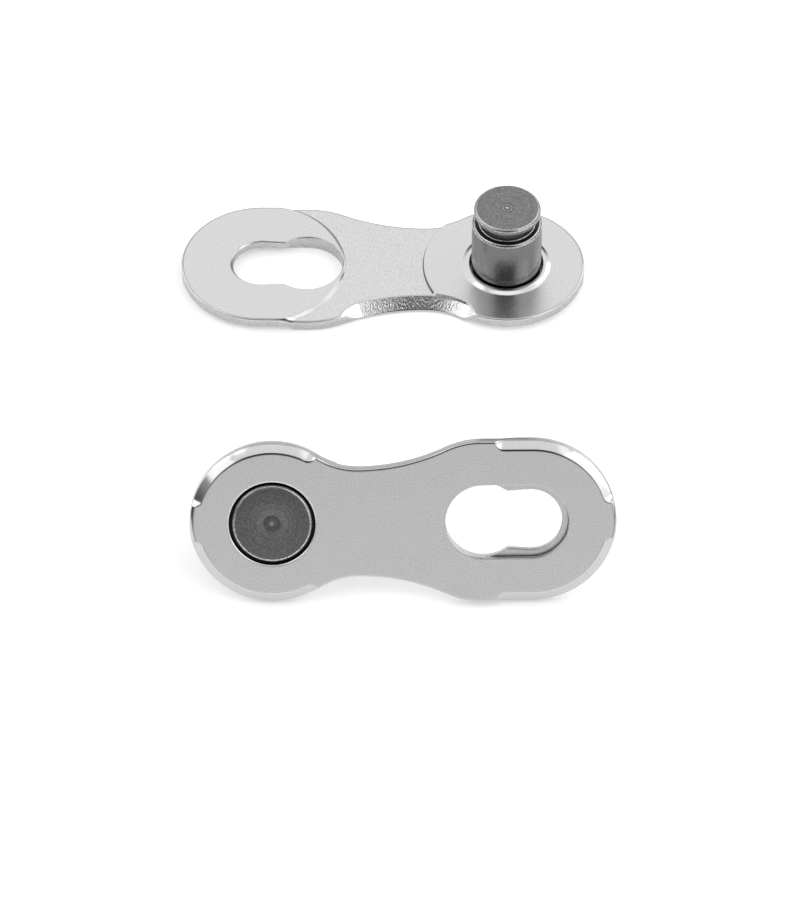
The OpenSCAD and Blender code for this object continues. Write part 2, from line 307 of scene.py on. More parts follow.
class Shell:
    """Vertices, faces and finishes of a piece while it is built."""

    def __init__(self):
        self.points, self.faces, self.finishes, self.count = [], [], [], 0

    def add(self, points):
        """Adds points and gives their numbers."""
        self.points.append(points)
        self.count += len(points)
        return np.arange(self.count - len(points), self.count)

    def strip(self, path, finishes):
        """Joins the rings of a path by quads and gives each ring's numbers. Each finish is for one band."""
        rings = [self.add(ring) for ring in path]
        for low, high, finish in zip(rings, rings[1:], finishes):
            quads = np.stack([low, np.roll(low, -1), np.roll(high, -1), high], 1)
            self.faces += quads.tolist()
            self.finishes += np.broadcast_to(finish, len(quads)).tolist()
        return rings

    def cap(self, ring, centre, finish):
        """Closes a ring by triangles to its centre."""
        hub = int(self.add(np.array([centre]))[0])
        self.faces += [[int(a), int(b), hub] for a, b in zip(ring, np.roll(ring, -1))]
        self.finishes += [finish] * len(ring)

    def fill(self, rim, holes, lines, finish_at):
        """Fills the face between a rim and its holes, which are rings of numbers, with edges along the
        lines too. The finish comes from a function of points."""
        every = np.concatenate(self.points)
        used = np.unique(np.concatenate([rim, *holes, *lines]))
        order = {int(number): i for i, number in enumerate(used)}
        loops = [[order[int(number)] for number in ring] for ring in (rim, *holes)]
        edges = [edge for loop in loops for edge in zip(loop, loop[1:] + loop[:1])]
        fences = {frozenset(edge) for edge in edges}
        edges += [(order[int(a)], order[int(b)]) for line in lines for a, b in zip(line, line[1:])]
        flat = every[used][:, :2]
        # Bent a little, because points in a straight row give triangles with no area
        bent = flat * np.column_stack([np.ones(len(flat)), 1 - 0.001 * flat[:, 0] ** 2])
        found = delaunay_2d_cdt([Vector(p) for p in bent.tolist()], edges, [], 0, 1e-8)
        if len(found[0]) != len(used):
            raise RuntimeError("the lines on a face cross: %d points became %d" % (len(used), len(found[0])))
        source = [originals[0] for originals in found[3]]
        triangles = np.array([[source[v] for v in face] for face in found[2]])
        corners = flat[triangles]
        sides = corners[:, 1:] - corners[:, :1]
        areas = np.abs(sides[:, 0, 0] * sides[:, 1, 1] - sides[:, 0, 1] * sides[:, 1, 0])
        middles = corners.mean(1)
        for patch in patches(triangles.tolist(), fences):
            widest = middles[patch[int(np.argmax(areas[patch]))]][None]
            in_hole = any(inside(widest, flat[loop])[0] for loop in loops[1:])
            if inside(widest, flat[loops[0]])[0] and not in_hole:
                self.faces += used[triangles[patch]].tolist()
                self.finishes += finish_at(middles[patch]).tolist()

    def mesh(self, name, materials):
        """The finished mesh, smooth, in metres, with every edge between two faces."""
        mesh = bpy.data.meshes.new(name)
        mesh.from_pydata((np.concatenate(self.points) * MM).tolist(), [], self.faces)
        for material in materials:
            mesh.materials.append(material)
        mesh.polygons.foreach_set("material_index", self.finishes)
        shape = bmesh.new()
        shape.from_mesh(mesh)
        bmesh.ops.recalc_face_normals(shape, faces=shape.faces)
        open_edges = [edge for edge in shape.edges if not edge.is_manifold]
        if open_edges:
            raise RuntimeError("%s isn't closed at %d edges" % (name, len(open_edges)))
        for face in shape.faces:
            face.smooth = True
        shape.to_mesh(mesh)
        shape.free()
        return mesh


def turned(profile, cuts, finishes, sides, worn=()):
    """Rounds the corners of a turned profile of (radius, height) and turns it about the pin's axis. Gives the
    path and the finish of each of its bands. A rounding has the finish of the band before it, or the worn
    edges' finish where the number of its corner is in worn."""
    angle = np.linspace(0, 2 * pi, sides, endpoint=False)
    corners = [np.column_stack([arc(PIN_X, 0, r, angle), np.full(sides, z)]) for r, z in profile]
    bands = [finishes[0]]
    for corner, (before, after) in enumerate(zip(finishes, finishes[1:]), 1):
        bands += [WORN if corner in worn else before] * (ROUND_STEPS - 1) + [after]
    return rounded(corners, cuts), bands


# The plate's edge

def hollow_radius(run, end_r):
    """Radius of the hollow that touches the waist's narrowest place and an end circle."""
    return (run * run + WAIST_HALF ** 2 - end_r * end_r) / (2 * (end_r - WAIST_HALF))


PIN_HOLLOW_R = hollow_radius(PIN_X - WAIST_SHIFT, PIN_END_R)
SLOT_HOLLOW_R = hollow_radius(WAIST_SHIFT - SHOULDER_X, SHOULDER_R)
PIN_HOLLOW_A = atan((PIN_X - WAIST_SHIFT) / (WAIST_HALF + PIN_HOLLOW_R))
SLOT_HOLLOW_A = atan((WAIST_SHIFT - SHOULDER_X) / (WAIST_HALF + SLOT_HOLLOW_R))
SLOT_SIDE_A = asin((SHOULDER_R - SLOT_END_R) / (SHOULDER_X - SLOT_END_X))
# The upper edge's arcs from the pin's end to the slot's: centre, radius, first and last angle, and 1 where
# the plate lies outside the arc. The straight side lies between the last two.
EDGE_ARCS = (
    (PIN_X, 0, PIN_END_R, 0, pi / 2 + PIN_HOLLOW_A, -1),
    (WAIST_SHIFT, WAIST_HALF + PIN_HOLLOW_R, PIN_HOLLOW_R, -pi / 2 + PIN_HOLLOW_A, -pi / 2, 1),
    (WAIST_SHIFT, WAIST_HALF + SLOT_HOLLOW_R, SLOT_HOLLOW_R, -pi / 2, -pi / 2 - SLOT_HOLLOW_A, 1),
    (SHOULDER_X, 0, SHOULDER_R, pi / 2 - SLOT_HOLLOW_A, pi / 2 + SLOT_SIDE_A, -1),
    (SLOT_END_X, 0, SLOT_END_R, pi / 2 + SLOT_SIDE_A, pi, -1),
)


# Distance between the points of the table of the edge
EDGE_STEP = 0.005


def edge_table():
    """Rows along the upper edge: distance, x, y, and the unit vector into the plate."""
    rows = []
    for x, y, r, first, last, side in EDGE_ARCS:
        a = np.linspace(first, last, 2 + int(abs(last - first) * r / EDGE_STEP))
        rows.append(np.column_stack([arc(x, y, r, a), arc(0, 0, side, a)]))
    rows = np.concatenate(rows)
    step = np.hypot(*np.diff(rows[:, :2], axis=0).T)
    rows = rows[np.concatenate([[True], step > 1e-9])]
    distance = np.concatenate([[0], np.cumsum(np.hypot(*np.diff(rows[:, :2], axis=0).T))])
    return np.column_stack([distance, rows])


OUTLINE = edge_table()
EDGE_LENGTH = OUTLINE[-1, 0]
WAIST_AT = PIN_END_R * EDGE_ARCS[0][4] + PIN_HOLLOW_R * PIN_HOLLOW_A


def on_edge(s, side):
    """Points of the edge at the distances s, and the unit vectors into the plate there. The side is 1 for the
    upper edge and -1 for the lower."""
    columns = [np.interp(s, OUTLINE[:, 0], OUTLINE[:, i]) for i in range(1, 5)]
    return (np.stack([columns[0], side * columns[1], np.zeros_like(s)], 1),
            np.stack([columns[2], side * columns[3], np.zeros_like(s)], 1))


def bevel_at(s, first, last, scoops, width, depth, powers=(0.5, 1)):
    """Width and depth at the distances s of a bevel that is full from first to last. It dies out in a scoop
    at both ends, whose lengths are given. The powers make the scoops round or pointed in width and depth."""
    t = np.clip(np.maximum((first - s) / scoops[0], (s - last) / scoops[1]), 0, 1)
    return width * (1 - t * t) ** powers[0], depth * (1 - t * t) ** powers[1]


# By the keyhole the slope of the slot's pad narrows to this width within about this angle, in radians
ROOM_ANGLE = 0.26
ROOM_W = 0.05


def slope_radius(pad, angle, share):
    """Radius of a pad's slope at the angles, from its upper line (share 0) to its foot (1). By the keyhole it
    makes room for the hole's edge."""
    x, r, slope = pad
    room = np.exp(-(angle / ROOM_ANGLE) ** 2) if x < 0 else 0 * angle
    return r - slope * (1 - room) * (1 - share) + ROOM_W * room * share


# Shares of a pad's slope, and how much of its height is lost at each, so that it is rounded above and below
PAD_SIDE = (0, 0.15, 0.85, 1), (0, 0.11, 0.89, 1)


def face_height(p):
    """Height of the inner face at the points p: the pads, the waist, and the rounded slopes between them."""
    beyond = []
    for pad in PADS:
        x, y = p[:, 0] - pad[0], p[:, 1]
        angle = np.arctan2(y, x)
        top, foot = slope_radius(pad, angle, 0), slope_radius(pad, angle, 1)
        beyond.append((np.hypot(x, y) - top) / (foot - top))
    return PAD_T - (PAD_T - WAIST_T) * np.interp(np.min(beyond, 0), *PAD_SIDE)


# Past a corner a face runs on flat for so many times its rounding's width and so many millimetres more, so
# that its middle isn't shaded as if it were bent
RUN_OUT = 2.2
GUARD = 0.012


class EdgePlan:
    """Where the bevels lie along the plate's edge, and how its sides are drawn."""

    # Roundings of the inner edge and of the waist's bevel
    INNER_ROUND = 0.06
    WAIST_ROUND = 0.03
    # Reach along the edge, width and depth of the bevel worn on the pin's tip and the slot's
    TIPS = (1.7, 0.17, 0.085), (1.7, 0.08, 0.05)
    WAIST_SCOOPS = WAIST_SCOOP_RIGHT, WAIST_SCOOP_LEFT
    # Powers of the waist's scoops, which are pointed and run out thin
    WAIST_POWERS = 1, 1.5
    # Lengths over which the striations fade toward the bevel's right end and its left end
    STRIA_FADE = 0.5, 1.4

    def __init__(self, look):
        self.round = look.edge_round / MM
        self.width, self.depth = look.bevel_width / MM, look.bevel_depth / MM
        self.striation, self.spacing = look.striation / MM, look.striation_pitch / MM
        self.ends = (
            (PIN_END_R * asin(TIP_GAP / PIN_END_R), PIN_END_R * radians(PIN_BEVEL_STOP)),
            (EDGE_LENGTH - SLOT_END_R * (pi / 2 - SLOT_SIDE_A) - SLOT_BEVEL_RUN,
             EDGE_LENGTH - SLOT_END_R * asin(TIP_GAP / SLOT_END_R)),
        )
        self.waist = (
            WAIST_AT - PIN_HOLLOW_R * asin(WAIST_BEVEL_RIGHT / PIN_HOLLOW_R),
            WAIST_AT + SLOT_HOLLOW_R * asin(WAIST_BEVEL_LEFT / SLOT_HOLLOW_R),
        )

    def inner_bevel(self, s, side):
        """Width of the waist's bevel and its share of the full depth, on the lower side alone."""
        if side > 0:
            return np.zeros_like(s), np.zeros_like(s)
        return bevel_at(s, *self.waist, self.WAIST_SCOOPS, WAIST_BEVEL_W, 1.0, self.WAIST_POWERS)

    def striated(self, s, share):
        """Share of their depth that the striations have at the distances s, a tenth at the bevel's ends."""
        right, left = self.STRIA_FADE
        fade = np.minimum((s - self.waist[0]) / right, (self.waist[1] - s) / left)
        return np.clip(fade + 0.1, 0, 1) * (share > 0)

    def inner_round(self, share):
        """Rounding of the inner edge, which is smaller on the waist's bevel. The share is that bevel's."""
        return self.INNER_ROUND + (self.WAIST_ROUND - self.INNER_ROUND) * np.clip(5 * share, 0, 1)

    def outer_bevel(self, s):
        """Width and depth of the bevels on the outer face, with those worn at the tips."""
        sizes = [bevel_at(s, *end, (self.width, self.width), self.width, self.depth) for end in self.ends]
        for at, (reach, width, depth) in zip((0.0, EDGE_LENGTH), self.TIPS):
            near = np.clip(2 - 2 * np.abs(s - at) / reach, 0, 1)
            near = near * near * (3 - 2 * near)
            sizes.append((width * near, depth * near))
        return np.max(sizes, 0)

    def inner_rim(self, s, side):
        """Points where the edge's bands end on the inner face."""
        point, into = on_edge(s, side)
        width, share = self.inner_bevel(s, side)
        cut = self.inner_round(share)
        return point + into * (np.hypot(width, cut) + RUN_OUT * cut + GUARD)[:, None]

    def places(self, side):
        """Distances along the edge, closer together where a bevel ends and on the striated one. The second
        result is those at which the lines of the pads' slopes meet the rim."""
        # Each span has its first and last distance and the spacing inside it
        spans = [(0, EDGE_LENGTH, 0.06)]
        for first, last in self.ends:
            spans += [(first - self.width, first, 0.015), (last, last + self.width, 0.015)]
        if side < 0:
            first, last = self.waist
            before, after = self.WAIST_SCOOPS
            spans += [(first - before, last + after, 0.02)]
        marks = [self.crossing(side, line) for line in PAD_LINES]
        spans += [(mark - 0.5, mark + 0.5, 0.03) for mark in marks]
        s = np.unique(np.concatenate([np.linspace(a, b, 2 + int((b - a) / step)) for a, b, step in spans]))
        # Points too close to a mark or to the one before are left out
        for mark in marks:
            s = s[np.abs(s - mark) > 0.004]
        keep = np.concatenate([[True], np.diff(s) > 0.006])
        keep[-1] = True
        return np.unique(np.concatenate([s[keep], marks])), marks

    def crossing(self, side, line):
        """Distance along the edge at which a line of a pad's slope crosses the rim."""
        x = line[0][0]
        low, high = (0.0, WAIST_AT) if x > 0 else (EDGE_LENGTH, WAIST_AT)
        for _step in range(60):
            middle = (low + high) / 2
            p = self.inner_rim(np.array([middle]), side)[0]
            if hypot(p[0] - x, p[1]) < line_radius(line, np.array([atan2(p[1], p[0] - x)]))[0]:
                low = middle
            else:
                high = middle
        return low


# Lines along the pads' slopes: the pad, the share of its slope, and a distance beyond
PAD_LINES = [(pad, *line) for pad in PADS for line in (
    (0, -GUARD), *((share, 0) for share in PAD_SIDE[0]), (1, GUARD))]


def line_radius(line, angle):
    """Radius of such a line at the angles."""
    pad, share, beyond = line
    return slope_radius(pad, angle, share) + beyond


# Rings of the striated bevel across its width, and the share of the width that they cover
STRIA_RINGS = 15
STRIA_END = 0.985
# On its way across, a groove leans by so many spacings and has so many breaks
STRIA_LEAN = 1.6
STRIA_BREAKS = 7
# The share of its full height that noise mostly reaches
NOISE_REACH = 0.625


def striation_rings(plan, s, share, slope, start, end, into):
    """Rings of the waist's bevel from its start to its end, lifted and sunk to make the grooves across it."""
    depth = plan.striated(s, share)
    rings = []
    for v in np.linspace(0, 1, STRIA_RINGS + 1)[1:]:
        ring = start + (end - start) * v * STRIA_END
        lift = np.array([
            noise.noise(Vector((at / plan.spacing + STRIA_LEAN * v, STRIA_BREAKS * v, 0))) if deep else 0
            for at, deep in zip(s, depth > 0)])
        # The grooves die out at both edges of the bevel
        lift *= plan.striation * depth * max(sin(pi * v), 0.0) ** 0.5 / NOISE_REACH
        ring = ring + into * (-slope[:, 1] * lift)[:, None]
        ring[:, 2] += slope[:, 0] * lift
        rings.append(ring)
    return rings


def edge_bands(shell, plan):
    """Builds the plate's edge with its bevels. Gives its rings and, for the upper and the lower side, the
    numbers of the rim's points on the lines of the pads' slopes."""
    upper, upper_marks = plan.places(1)
    lower, lower_marks = plan.places(-1)
    lower = lower[1:-1][::-1]
    s = np.concatenate([upper, lower])
    point, into = (np.concatenate(pair) for pair in zip(on_edge(upper, 1), on_edge(lower, -1)))
    width, depth = plan.outer_bevel(s)
    waist = [np.concatenate(pair) for pair in zip(plan.inner_bevel(upper, 1), plan.inner_bevel(lower, -1))]
    rim = np.concatenate([plan.inner_rim(upper, 1), plan.inner_rim(lower, -1)])
    rim[:, 2] = face_height(rim)

    def at(inward, height=0.0):
        return moved(point, into, inward, height)

    outer_w, outer_d = np.hypot(width, plan.round), np.hypot(depth, plan.round)
    inner_cut = plan.inner_round(waist[1])
    inner_w = np.hypot(waist[0], inner_cut)
    top = face_height(at(inner_w))
    wall = np.where(waist[1] > 0, top, face_height(at(0)))
    inner_d = np.hypot((top - WAIST_BEVEL_EDGE) * waist[1], inner_cut)
    corners = [
        at(outer_w + RUN_OUT * plan.round + GUARD), at(outer_w), at(0, outer_d), at(0, wall - inner_d),
        at(inner_w, top), rim]
    path = rounded(corners, (plan.round, plan.round, inner_cut[:, None], inner_cut[:, None]))
    # The inner bevel lies between the rings 12 and 13, and the rounding after it ends with 16. Where the
    # bevel cuts into a pad, it ends at the waist's height
    start, end = path[12], path[13].copy()
    sunk = (top - WAIST_T) / np.maximum(top - WAIST_BEVEL_EDGE, 1e-6)
    end[:, 2] -= (end[:, 2] - start[:, 2]) * waist[1] * sunk
    slope = np.stack([inner_w, inner_d], 1) / np.hypot(inner_w, inner_d)[:, None]
    grooved = striation_rings(plan, s, waist[1], slope, start, end, into)
    shelf = [path[16] + (rim - path[16]) * share for share in (0.25, 0.5, 0.75)]
    for ring in [path[16]] + shelf:
        ring[:, 2] = face_height(ring)
    path = path[:13] + grooved + path[13:17] + shelf + [rim]
    on_bevel = np.where(depth > 0, BEVEL, EDGE)
    on_waist = np.where(waist[1] > 0.999, STRIATED, np.where(waist[1] > 0, PAD, EDGE))
    finishes = [SATIN] + [BEVEL] * 3 + [on_bevel] + [BEVEL] * 3 + [EDGE] + [BEVEL] * 3
    finishes += [on_waist] * (STRIA_RINGS + 1)
    finishes += [BEVEL] * 3 + [SATIN] * 4
    rings = shell.strip(path, finishes)
    numbers = []
    for first, side, marks in ((0, upper, upper_marks), (len(upper), lower, lower_marks)):
        numbers.append([rings[-1][first + int(np.argmin(np.abs(side - mark)))] for mark in marks])
    return rings, *numbers


# The keyhole slot

# Length over which the corner between the entry and the neck is rounded
CUSP_CUT = 0.1


def keyhole_outline():
    """Points of the hole and unit vectors into the plate, then points of the recess's rim and unit vectors
    into the plate there. The counts put the points about 0.05 mm apart."""
    neck_a = pi - asin(NECK_HALF / ENTRY_R)
    neck_end = np.array([ENTRY_X + ENTRY_R * cos(neck_a), NECK_HALF])
    seat_top = np.array([SEAT_X, SEAT_R])
    entry = arc(ENTRY_X, 0, ENTRY_R, np.linspace(0, neck_a - CUSP_CUT / ENTRY_R, 76))
    neck_start = neck_end + (seat_top - neck_end) * CUSP_CUT / np.linalg.norm(seat_top - neck_end)
    cusp = curve(np.linspace(0, 1, 9)[1:-1, None], entry[-1], neck_end, neck_start)
    neck = neck_start + (seat_top - neck_start) * np.linspace(0, 1, 24)[:-1, None]
    seat = arc(SEAT_X, 0, SEAT_R, np.linspace(pi / 2, pi, 56))
    half = np.concatenate([entry, cusp, neck, seat])
    hole = np.concatenate([half, half[-2:0:-1] * [1, -1]])
    along = np.roll(hole, -1, 0) - np.roll(hole, 1, 0)
    into = np.stack([along[:, 1], -along[:, 0]], 1) / np.linalg.norm(along, axis=1, keepdims=True)
    rim, rim_into = hole.copy(), into.copy()
    for i, (x, y) in enumerate(hole):
        if x < SEAT_X:
            out = np.array([x - SEAT_X, y]) / hypot(x - SEAT_X, y)
            rim[i], rim_into[i] = [SEAT_X, 0] + out * RECESS_R, out
        elif x < ENTRY_X:
            rim[i], rim_into[i] = [x, np.sign(y) * RECESS_R], [0, np.sign(y)]
        else:
            rim_into[i] = into[i] = np.array([x - ENTRY_X, y]) / ENTRY_R
    return hole, into, rim, rim_into


# Roundings of the recess's rim, of its corner and lip, and of the hole's inner edge
RECESS_ROUND = 0.022
CORNER_ROUND = 0.03
HOLE_ROUND = 0.016
# Width of the bevel all round the hole's inner edge
HOLE_BEVEL = 0.04
# Where the recess is narrower than this, it has no floor
LEAST_FLOOR = 0.02


def keyhole_bands(shell):
    """Builds the keyhole's walls, its recess and the relief at the far end of the seat. Gives its rings."""
    hole, into, rim, rim_into = keyhole_outline()
    floor_w = np.linalg.norm(rim - hole, axis=1)
    # Keeps the corner and the lip apart where the recess is narrow
    gap = 0.01 * (1 - np.clip(floor_w / 0.1, 0, 1))
    relief = SEAT_RELIEF * np.clip((SEAT_X - hole[:, 0]) / SEAT_R, 0, 1)
    relief = np.hypot(relief, HOLE_BEVEL)
    edge = RECESS_ROUND
    corners = [
        moved(rim, rim_into, edge + RUN_OUT * edge + GUARD, 0), moved(rim, rim_into, edge, 0),
        moved(rim, rim_into, 0, edge), moved(rim, rim_into, 0, RECESS_D - gap),
        moved(hole, into, 0, RECESS_D + gap), moved(hole, into, 0, PAD_T - relief),
        moved(hole, into, relief, PAD_T),
        moved(hole, into, relief + RUN_OUT * HOLE_ROUND + GUARD / 2, PAD_T)]
    path = rounded(corners, (edge, edge, CORNER_ROUND, CORNER_ROUND, HOLE_ROUND, HOLE_ROUND))
    # Two more rings keep the recess's floor flat between its roundings
    path[13:13] = [path[12] + (path[13] - path[12]) * share for share in (0.12, 0.88)]
    # Where the recess has a floor, its concave corner takes the gap's painted shade
    wall, corner, floor = (np.where(floor_w > LEAST_FLOOR, finish, EDGE) for finish in (BEVEL, GAP, SATIN))
    bands = [SATIN] + [BEVEL] * 7 + [wall] + [corner] * 3 + [floor] * 3 + [BEVEL] * 3
    bands += [EDGE] * 8 + [PAD]
    return shell.strip(path, bands)


def bore_bands(shell, sides):
    """Builds the pin's bore with its open ring below and its raised collar above. Gives its rings."""
    bore_r = ROOT_R - ROOT_TAPER
    # The first and the last point lie on the plate's faces, just past the ring's mouth and the collar's foot
    profile = [
        (RING_R + 0.15, 0), (RING_R + 0.05, 0), (RING_R, 0.05), (RING_R, RING_D),
        (ROOT_R, RING_D), (bore_r, ROOT_TOP), (bore_r, COLLAR_TOP - 0.04), (bore_r + 0.05, COLLAR_TOP),
        (COLLAR_TOP_R, COLLAR_TOP), (COLLAR_R, PAD_T), (COLLAR_R + 0.13, PAD_T)]
    cuts = (0.03, 0.03, 0.02, 0.01, 0.01, 0.03, 0.03, 0.06, 0.035)
    # The ring round the root and the bore take the gap's painted shade
    finishes = [SATIN, BEVEL, GAP, GAP, GAP, GAP, COLLAR, COLLAR, COLLAR, PAD]
    return shell.strip(*turned(profile, cuts, finishes, sides))


# Distance between the points of a line along a pad's slope
LINE_STEP = 0.06


def pad_line_points(shell, line, upper, lower):
    """Draws a line of a pad's slope across the inner face, between two points of the rim, and gives the
    numbers of its points."""
    x, reach = line[0][0], line[0][1]
    every = np.concatenate(shell.points)
    ends = [atan2(every[n][1], every[n][0] - x) % (2 * pi) for n in (upper, lower)]
    if x < 0 and ends[1] > pi:
        ends[1] -= 2 * pi
    count = int(abs(ends[1] - ends[0]) * reach / LINE_STEP)
    a = np.linspace(ends[0], ends[1], count + 1)[1:-1]
    p = arc(x, 0, line_radius(line, a), a)
    p = np.column_stack([p, face_height(p)])
    return np.concatenate([[upper], shell.add(p), [lower]])


def inner_finish(p):
    """Finishes of the inner face at the points p: the pads, their slopes and the waist. The steep step round
    the pin's pad gets a dark colour, which is painted shade."""
    height = face_height(p)
    slope = np.where(p[:, 0] > 0, STEP, SLOPE)
    return np.where(height > PAD_T - 0.001, PAD, np.where(height > WAIST_T + 0.001, slope, SATIN))


def plate_mesh(name, look, sides, materials):
    """The mesh of a plate, closed, with its bevels, pads, keyhole, bore and collar."""
    shell, plan = Shell(), EdgePlan(look)
    edge, upper, lower = edge_bands(shell, plan)
    keyhole = keyhole_bands(shell)
    bore = bore_bands(shell, sides)
    lines = [pad_line_points(shell, line, *ends) for line, *ends in zip(PAD_LINES, upper, lower)]
    shell.fill(edge[0], [keyhole[0], bore[0]], [], lambda p: np.full(len(p), SATIN))
    shell.fill(edge[-1], [keyhole[-1], bore[-1]], lines, inner_finish)
    return shell.mesh(name, materials)


# Marks of turning on the pin's ends as radius and depth: a small centre hole, and a groove round it
CENTRE = (0.02, 0.05), (0.07, 0.045), (0.13, 0)
ROOT_MARKS = *CENTRE, (0.42, 0), (0.445, 0.012), (0.47, 0)
TIP_MARKS = *CENTRE, (0.26, 0), (0.28, 0.008), (0.3, 0)


def pin_mesh(name, look, materials):
    """The mesh of a pin: root, shank, locking groove and head, with the marks of its turning centre."""
    edge = look.edge_round / MM
    cut = PIN_CHAMFER
    profile = [(r, ROOT_SUNK + depth) for r, depth in ROOT_MARKS]
    profile += [
        (RIVET_R - cut, ROOT_SUNK), (RIVET_R, ROOT_SUNK + 0.08), (RIVET_R, RING_D - 0.06),
        (ROOT_R, RING_D - 0.02), (ROOT_R - ROOT_TAPER, ROOT_TOP), (SHANK_R - FOOT_TAPER, ROOT_TOP),
        (SHANK_R, SHANK_FOOT), (SHANK_R, SHANK_TOP - cut), (SHANK_R - cut, SHANK_TOP),
        (GROOVE_R, SHANK_TOP), (GROOVE_R, HEAD_FOOT), (HEAD_R - 0.02, HEAD_FOOT),
        (HEAD_R, HEAD_FOOT + 0.02), (HEAD_R, PIN_TOP - cut), (HEAD_R - cut, PIN_TOP)]
    profile += [(r, PIN_TOP - depth) for r, depth in reversed(TIP_MARKS)]
    # Width of the rounding at each corner but the first and the last
    cuts = [0.02, 0.02, 0.01, 0.01, 0.01, edge, 0.02, 0.02, 0.02, 0.02, 0.02, 0.05, edge, edge, 0.05, 0.05,
            0.015, 0.015, edge, edge, 0.01, 0.01, 0.01, 0.02, 0.02]
    finishes = [ROOT] * 7 + [SIDE] * 7 + [GROOVE] * 3 + [SIDE] * 2 + [TIP] * 7
    # The rims of the root, the shank and the head are worn
    worn = (6, 13, 14, 15, 17, 18, 19, 20)
    path, bands = turned(profile, cuts, finishes, look.sides, worn)
    shell = Shell()
    rings = shell.strip(path, bands)
    shell.cap(rings[0], (PIN_X, 0, profile[0][1]), ROOT)
    shell.cap(rings[-1], (PIN_X, 0, profile[-1][1]), TIP)
    return shell.mesh(name, materials)


def half_b_matrix():
    """Half B: turned over, tilted, leant on the rim of its pin's head and set down in front of half A."""
    lean = atan((PIN_TOP - PIN_CHAMFER - PAD_T) / (PIN_END_R - HEAD_R))
    slot_drop = (SLOT_END_R - PIN_END_R) * sin(lean) / (PIN_X - SLOT_END_X)
    shoulder_drop = (SHOULDER_R - PIN_END_R) * sin(lean) - (PAD_T - WAIST_T) * cos(lean)
    drop = max(slot_drop, shoulder_drop / (PIN_X - SHOULDER_X))
    rise = PIN_X * drop + PIN_END_R * sin(lean) + PAD_T * cos(lean)
    turns = [(PAIR_TURN, "Z"), (degrees(lean), "X"), (degrees(asin(drop / sin(lean))), "Z"), (180, "Y")]
    matrix = Matrix.Translation(Vector((PAIR_SHIFT, -PAIR_GAP, rise)) * MM)
    for angle, axis in turns:
        matrix @= Matrix.Rotation(radians(angle), 4, axis)
    return matrix


def place(name, mesh, matrix, node):
    """Puts a piece in the scene in the place of its CAD node."""
    piece = bpy.data.objects.new(name, mesh)
    bpy.context.scene.collection.objects.link(piece)
    piece.matrix_world = matrix
    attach(piece, "root")
    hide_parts(node)


# Materials

def add_node(tree, kind, inputs=None, **settings):
    """Adds a node with its settings. Each input is a value, a socket, or a node for its first output."""
    node = tree.nodes.new(kind)
    for name, value in settings.items():
        setattr(node, name, value)
    for name, value in (inputs or {}).items():
        if isinstance(value, bpy.types.Node):
            value = value.outputs[0]
        if isinstance(value, bpy.types.NodeSocket):
            tree.links.new(value, node.inputs[name])
        else:
            node.inputs[name].default_value = value
    return node


def new_material(name):
    """A new material and its emptied node tree."""
    material = bpy.data.materials.new(name)
    material.use_nodes = True
    material.node_tree.nodes.clear()
    return material, material.node_tree


# The levels between which a noise texture mostly lies
NOISE_SPAN = {"From Min": 0.3, "From Max": 0.7}


def speckled(tree, color, place_on, grain, amount, shade=None):
    """The colour with a grain of the given size in millimetres that makes it lighter and darker by the
    amount, and times the shade if there is one."""
    fine = add_node(tree, "ShaderNodeTexNoise", {
        "Vector": place_on, "Scale": 1 / (grain * MM), "Detail": 1.0})
    share = add_node(tree, "ShaderNodeMapRange", {
        "Value": fine, **NOISE_SPAN, "To Min": 1 - amount, "To Max": 1 + amount}, clamp=False)
    if shade:
        share = add_node(tree, "ShaderNodeMath", {0: share, 1: shade}, operation="MULTIPLY")
    return add_node(tree, "ShaderNodeVectorMath", {0: tuple(color)[:3], "Scale": share}, operation="SCALE")


def dress_metal(tree, place_on, base, marks, relief, roughness, wear):
    """Puts a metal's shader on the tree, with the colour of the base and the marks raised by the relief in
    millimetres. Its roughness varies in patches, whose size in millimetres, detail and amount wear gives."""
    size, detail, amount = wear
    patches = add_node(tree, "ShaderNodeTexNoise", {
        "Vector": place_on, "Scale": 1 / (size * MM), "Detail": detail})
    rough = add_node(tree, "ShaderNodeMapRange", {
        "Value": patches, **NOISE_SPAN,
        "To Min": roughness * (1 - amount), "To Max": roughness * (1 + amount)})
    bump = add_node(tree, "ShaderNodeBump", {"Height": marks, "Strength": 1.0, "Distance": relief * MM})
    shader = add_node(tree, "ShaderNodeBsdfPrincipled", {
        "Base Color": base, "Metallic": 1.0, "Roughness": rough, "Normal": bump})
    add_node(tree, "ShaderNodeOutputMaterial", {"Surface": shader})


# Tumbling leaves broad patches on the plates, and handling leaves small ones on the pins
PLATE_WEAR = 1.6, 3.0, 0.12
PIN_WEAR = 0.5, 4.0, 0.15
# Grain of the pins' steel, in millimetres
STEEL_GRAIN = 0.045
# Wider rings, where the tool chattered: so many times the pitch of the tool marks, and the amount
CHATTER = 2.5, 0.12
# A ramp's end stands for this radius in millimetres, and its white for this level of the colour
RAMP_REACH = 2
RAMP_LEVEL = 2


def nickel_plate(name, color, roughness, grain, speckle, relief, stretch=(1, 1, 1)):
    """Nickel plate on stamped steel. The grain and its relief are in millimetres, speckle is how much its
    colour varies, and stretch makes the grain longer along x, y and z."""
    material, tree = new_material(name)
    place_on = add_node(tree, "ShaderNodeTexCoord").outputs["Object"]
    drawn = add_node(tree, "ShaderNodeMapping", {
        "Vector": place_on, "Scale": [1 / times for times in stretch]})
    base = speckled(tree, color, drawn, grain, speckle)
    fine = add_node(tree, "ShaderNodeTexNoise", {"Vector": drawn, "Scale": 1 / (grain * MM), "Detail": 2.0})
    dress_metal(tree, place_on, base, fine, relief, roughness, PLATE_WEAR)
    return material


